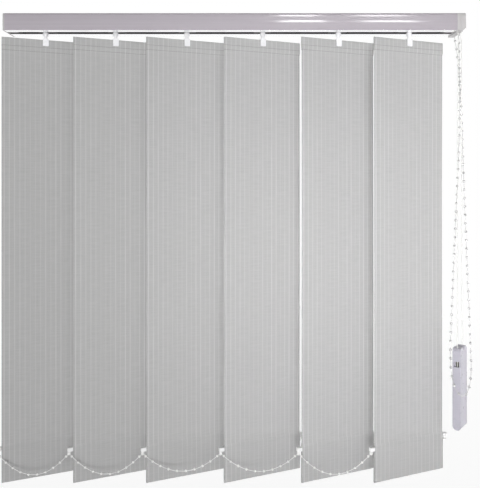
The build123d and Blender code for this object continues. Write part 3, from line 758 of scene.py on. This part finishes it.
def vane_path(top, bottom):
    """The folded strip's line across its thickness and height, from the top hem to the bottom one."""
    top_hem = top - TOP_POCKET
    low_hem = bottom + BOTTOM_POCKET
    fold_top = top - TOP_POCKET_HALF - FABRIC / 2
    fold_low = bottom + BOTTOM_POCKET_HALF + FABRIC / 2
    start = top_hem - SEAM_BAND
    end = low_hem + SEAM_BAND
    lap = FABRIC + SEAM_STEP
    path = [(lap, start)]
    path += pocket(TOP_POCKET_HALF, top_hem, fold_top, TOP_WALL_SHARES)
    path += [(0.0, start + (end - start) * row / VANE_ROWS) for row in range(VANE_ROWS + 1)]
    path += pocket(-BOTTOM_POCKET_HALF, low_hem, fold_low, BOTTOM_WALL_SHARES)
    path.append((lap, end))
    return path


def vane_face(number, path, bottom, height):
    """The middle face of one vane's cloth, with its slight bow."""
    work = bmesh.new()
    rows = []
    for across, z in path:
        rise = (z - bottom) / height
        depth = VANE_BOW * math.sin(math.pi * rise)
        row = []
        for column in range(VANE_COLUMNS + 1):
            share = column / VANE_COLUMNS - 0.5
            bow = depth * math.cos(BOW_ACROSS * share + BOW_SHIFT * number + BOW_UP * rise)
            row.append(work.verts.new((share * VANE_WIDTH, across + bow, z)))
        rows.append(row)
    add_faces(work, rows, closed=False)
    return work


def vane(number):
    """One vane's cloth, folded and stitched round its hanger and its weight."""
    low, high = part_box(f"vane_{number}")
    path = vane_path(high[2], low[2])
    piece = mesh_object(f"vane_cloth_{number}", vane_face(number, path, low[2], high[2] - low[2]))
    wall = piece.modifiers.new("cloth", "SOLIDIFY")
    wall.thickness = FABRIC
    wall.offset = 0.0
    apply_modifiers(piece)
    stem = joint_place(f"tilt_{number}")
    piece.matrix_world = Matrix.Translation((stem.x, stem.y, 0.0)) @ Matrix.Rotation(REST_TILT, 4, "Z")
    finish_piece(piece, "vane_fabric", f"vane_{number}")
    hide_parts(f"vane_{number}")


# Bottom chains


def swag(start, end):
    """The line of one hanging length of chain between two pegs, a parabola."""
    gap = end - start
    sag = math.sqrt(3 / 8 * (SWAG_LENGTH / gap.length - 1)) * gap.length
    line = []
    for step in range(SWAG_STEPS + 1):
        share = step / SWAG_STEPS
        drop = 4 * sag * share * (1 - share)
        line.append(start + gap * share - Vector((0.0, 0.0, drop)))
    return line


def add_connector(work, peg):
    """The short barrel that joins the chain to a peg."""
    bmesh.ops.create_cone(
        work,
        cap_ends=True,
        segments=CONNECTOR_SIDES,
        radius1=CONNECTOR_RADIUS,
        radius2=CONNECTOR_RADIUS,
        depth=CONNECTOR_HEIGHT,
        matrix=Matrix.Translation(peg),
    )


def bottom_chain(name, joint_name):
    """A bead chain that swags from peg to peg along one edge of all the vanes."""
    first = joint_place(joint_name)
    stems = [joint_place(f"tilt_{number}") for number in range(1, VANE_COUNT + 1)]
    pegs = [first + stem - stems[0] for stem in stems]
    work = bmesh.new()
    for start, end in zip(pegs, pegs[1:]):
        line = swag(start, end)
        add_tube(work, line, THREAD_RADIUS, Vector((0.0, 1.0, 0.0)))
        add_beads(work, line, SWAG_BEADS, SWAG_BEAD_RADIUS)
    for peg in pegs:
        add_connector(work, peg)
    piece = mesh_object(f"{name}_beads", work)
    finish_piece(piece, "chain_white", joints[joint_name]["child"])
    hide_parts(name)
    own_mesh(piece)


# Camera, room and light


def camera():
    data = bpy.data.cameras.new("camera")
    data.lens = CAMERA_LENS
    data.sensor_fit = "HORIZONTAL"
    data.sensor_width = CAMERA_SENSOR
    data.shift_y = CAMERA_SHIFT
    eye = link_object("camera", data)
    eye.location = CAMERA_PLACE
    eye.rotation_euler = CAMERA_TURN
    bpy.context.scene.camera = eye


def world():
    """White all round, and darker straight above, as in a room with a grey ceiling."""
    made = bpy.data.worlds.new("studio")
    bpy.context.scene.world = made
    made.use_nodes = True
    made.node_tree.nodes.clear()
    nodes = Nodes(made.node_tree)
    sky = nodes.spread(nodes.axis("Z", "Generated"), SKY_FADE, SKY_SHARES)
    level = nodes.spread(nodes.seen_rays(), RISING, (WORLD_LIGHT, 1.0))
    shade = nodes.node("ShaderNodeBackground")
    shade.inputs["Color"].default_value = WHITE
    nodes.link(nodes.math("MULTIPLY", sky, level), shade.inputs["Strength"])
    out = nodes.node("ShaderNodeOutputWorld")
    nodes.link(shade.outputs["Background"], out.inputs["Surface"])


def floor_material():
    """Pale and matt, but white to the camera further out."""
    made = bpy.data.materials.new("floor")
    made.use_nodes = True
    made.node_tree.nodes.clear()
    nodes = Nodes(made.node_tree)
    matt = nodes.node("ShaderNodeBsdfDiffuse")
    matt.inputs["Color"].default_value = FLOOR_COLOUR
    glow = nodes.node("ShaderNodeEmission")
    reach = nodes.node("ShaderNodeVectorMath", operation="LENGTH")
    nodes.link(nodes.coordinates(), reach.inputs[0])
    far = nodes.spread(reach.outputs["Value"], FLOOR_FADE, FLOOR_GLOW_SHARES)
    mix = nodes.node("ShaderNodeMixShader")
    nodes.link(nodes.math("MULTIPLY", nodes.seen_rays(), far), mix.inputs["Fac"])
    nodes.link(matt.outputs["BSDF"], mix.inputs[1])
    nodes.link(glow.outputs["Emission"], mix.inputs[2])
    out = nodes.node("ShaderNodeOutputMaterial")
    nodes.link(mix.outputs["Shader"], out.inputs["Surface"])
    return made


def floor():
    """A plain floor below the blind, which shows little but the blind's shadow."""
    work = bmesh.new()
    bmesh.ops.create_grid(work, x_segments=1, y_segments=1, size=FLOOR_SIZE / 2)
    plane = mesh_object("floor", work)
    plane.location = (0.0, 0.0, FLOOR_LEVEL)
    plane.data.materials.append(floor_material())


def area_light(name, place, target, size, power):
    """A soft lamp of a width and a height that faces its target."""
    data = bpy.data.lights.new(name, "AREA")
    data.shape = "RECTANGLE"
    data.size, data.size_y = size
    data.energy = power
    lamp = link_object(name, data)
    lamp.location = place
    way = Vector(target) - Vector(place)
    lamp.rotation_euler = way.to_track_quat("-Z", "Y").to_euler()
    lamp.visible_camera = False
    return lamp


def lights():
    """The four lamps of the blind, then the four of the rail."""
    lamps = {name: area_light(name, **lamp) for name, lamp in LAMPS.items()}
    lamps["back"].visible_glossy = False
    lamps["control_end"].data.spread = CONTROL_END_SPREAD
    for row, level in STRIP_LEVELS.items():
        for column, (x, width) in STRIP_SPANS.items():
            size = (width, STRIP_HEIGHT)
            area_light(f"{row}_{column}", (x, STRIP_Y, level), STRIP_TARGET, size, STRIP_POWER)


camera()
paint_frame()
pull_cord()
control_chain()
for number in range(1, VANE_COUNT + 1):
    vane(number)
bottom_chain("front_bottom_chain", "front_chain_turn")
bottom_chain("rear_bottom_chain", "rear_chain_turn")
world()
floor()
lights()
bpy.context.scene.view_settings.view_transform = "Standard"
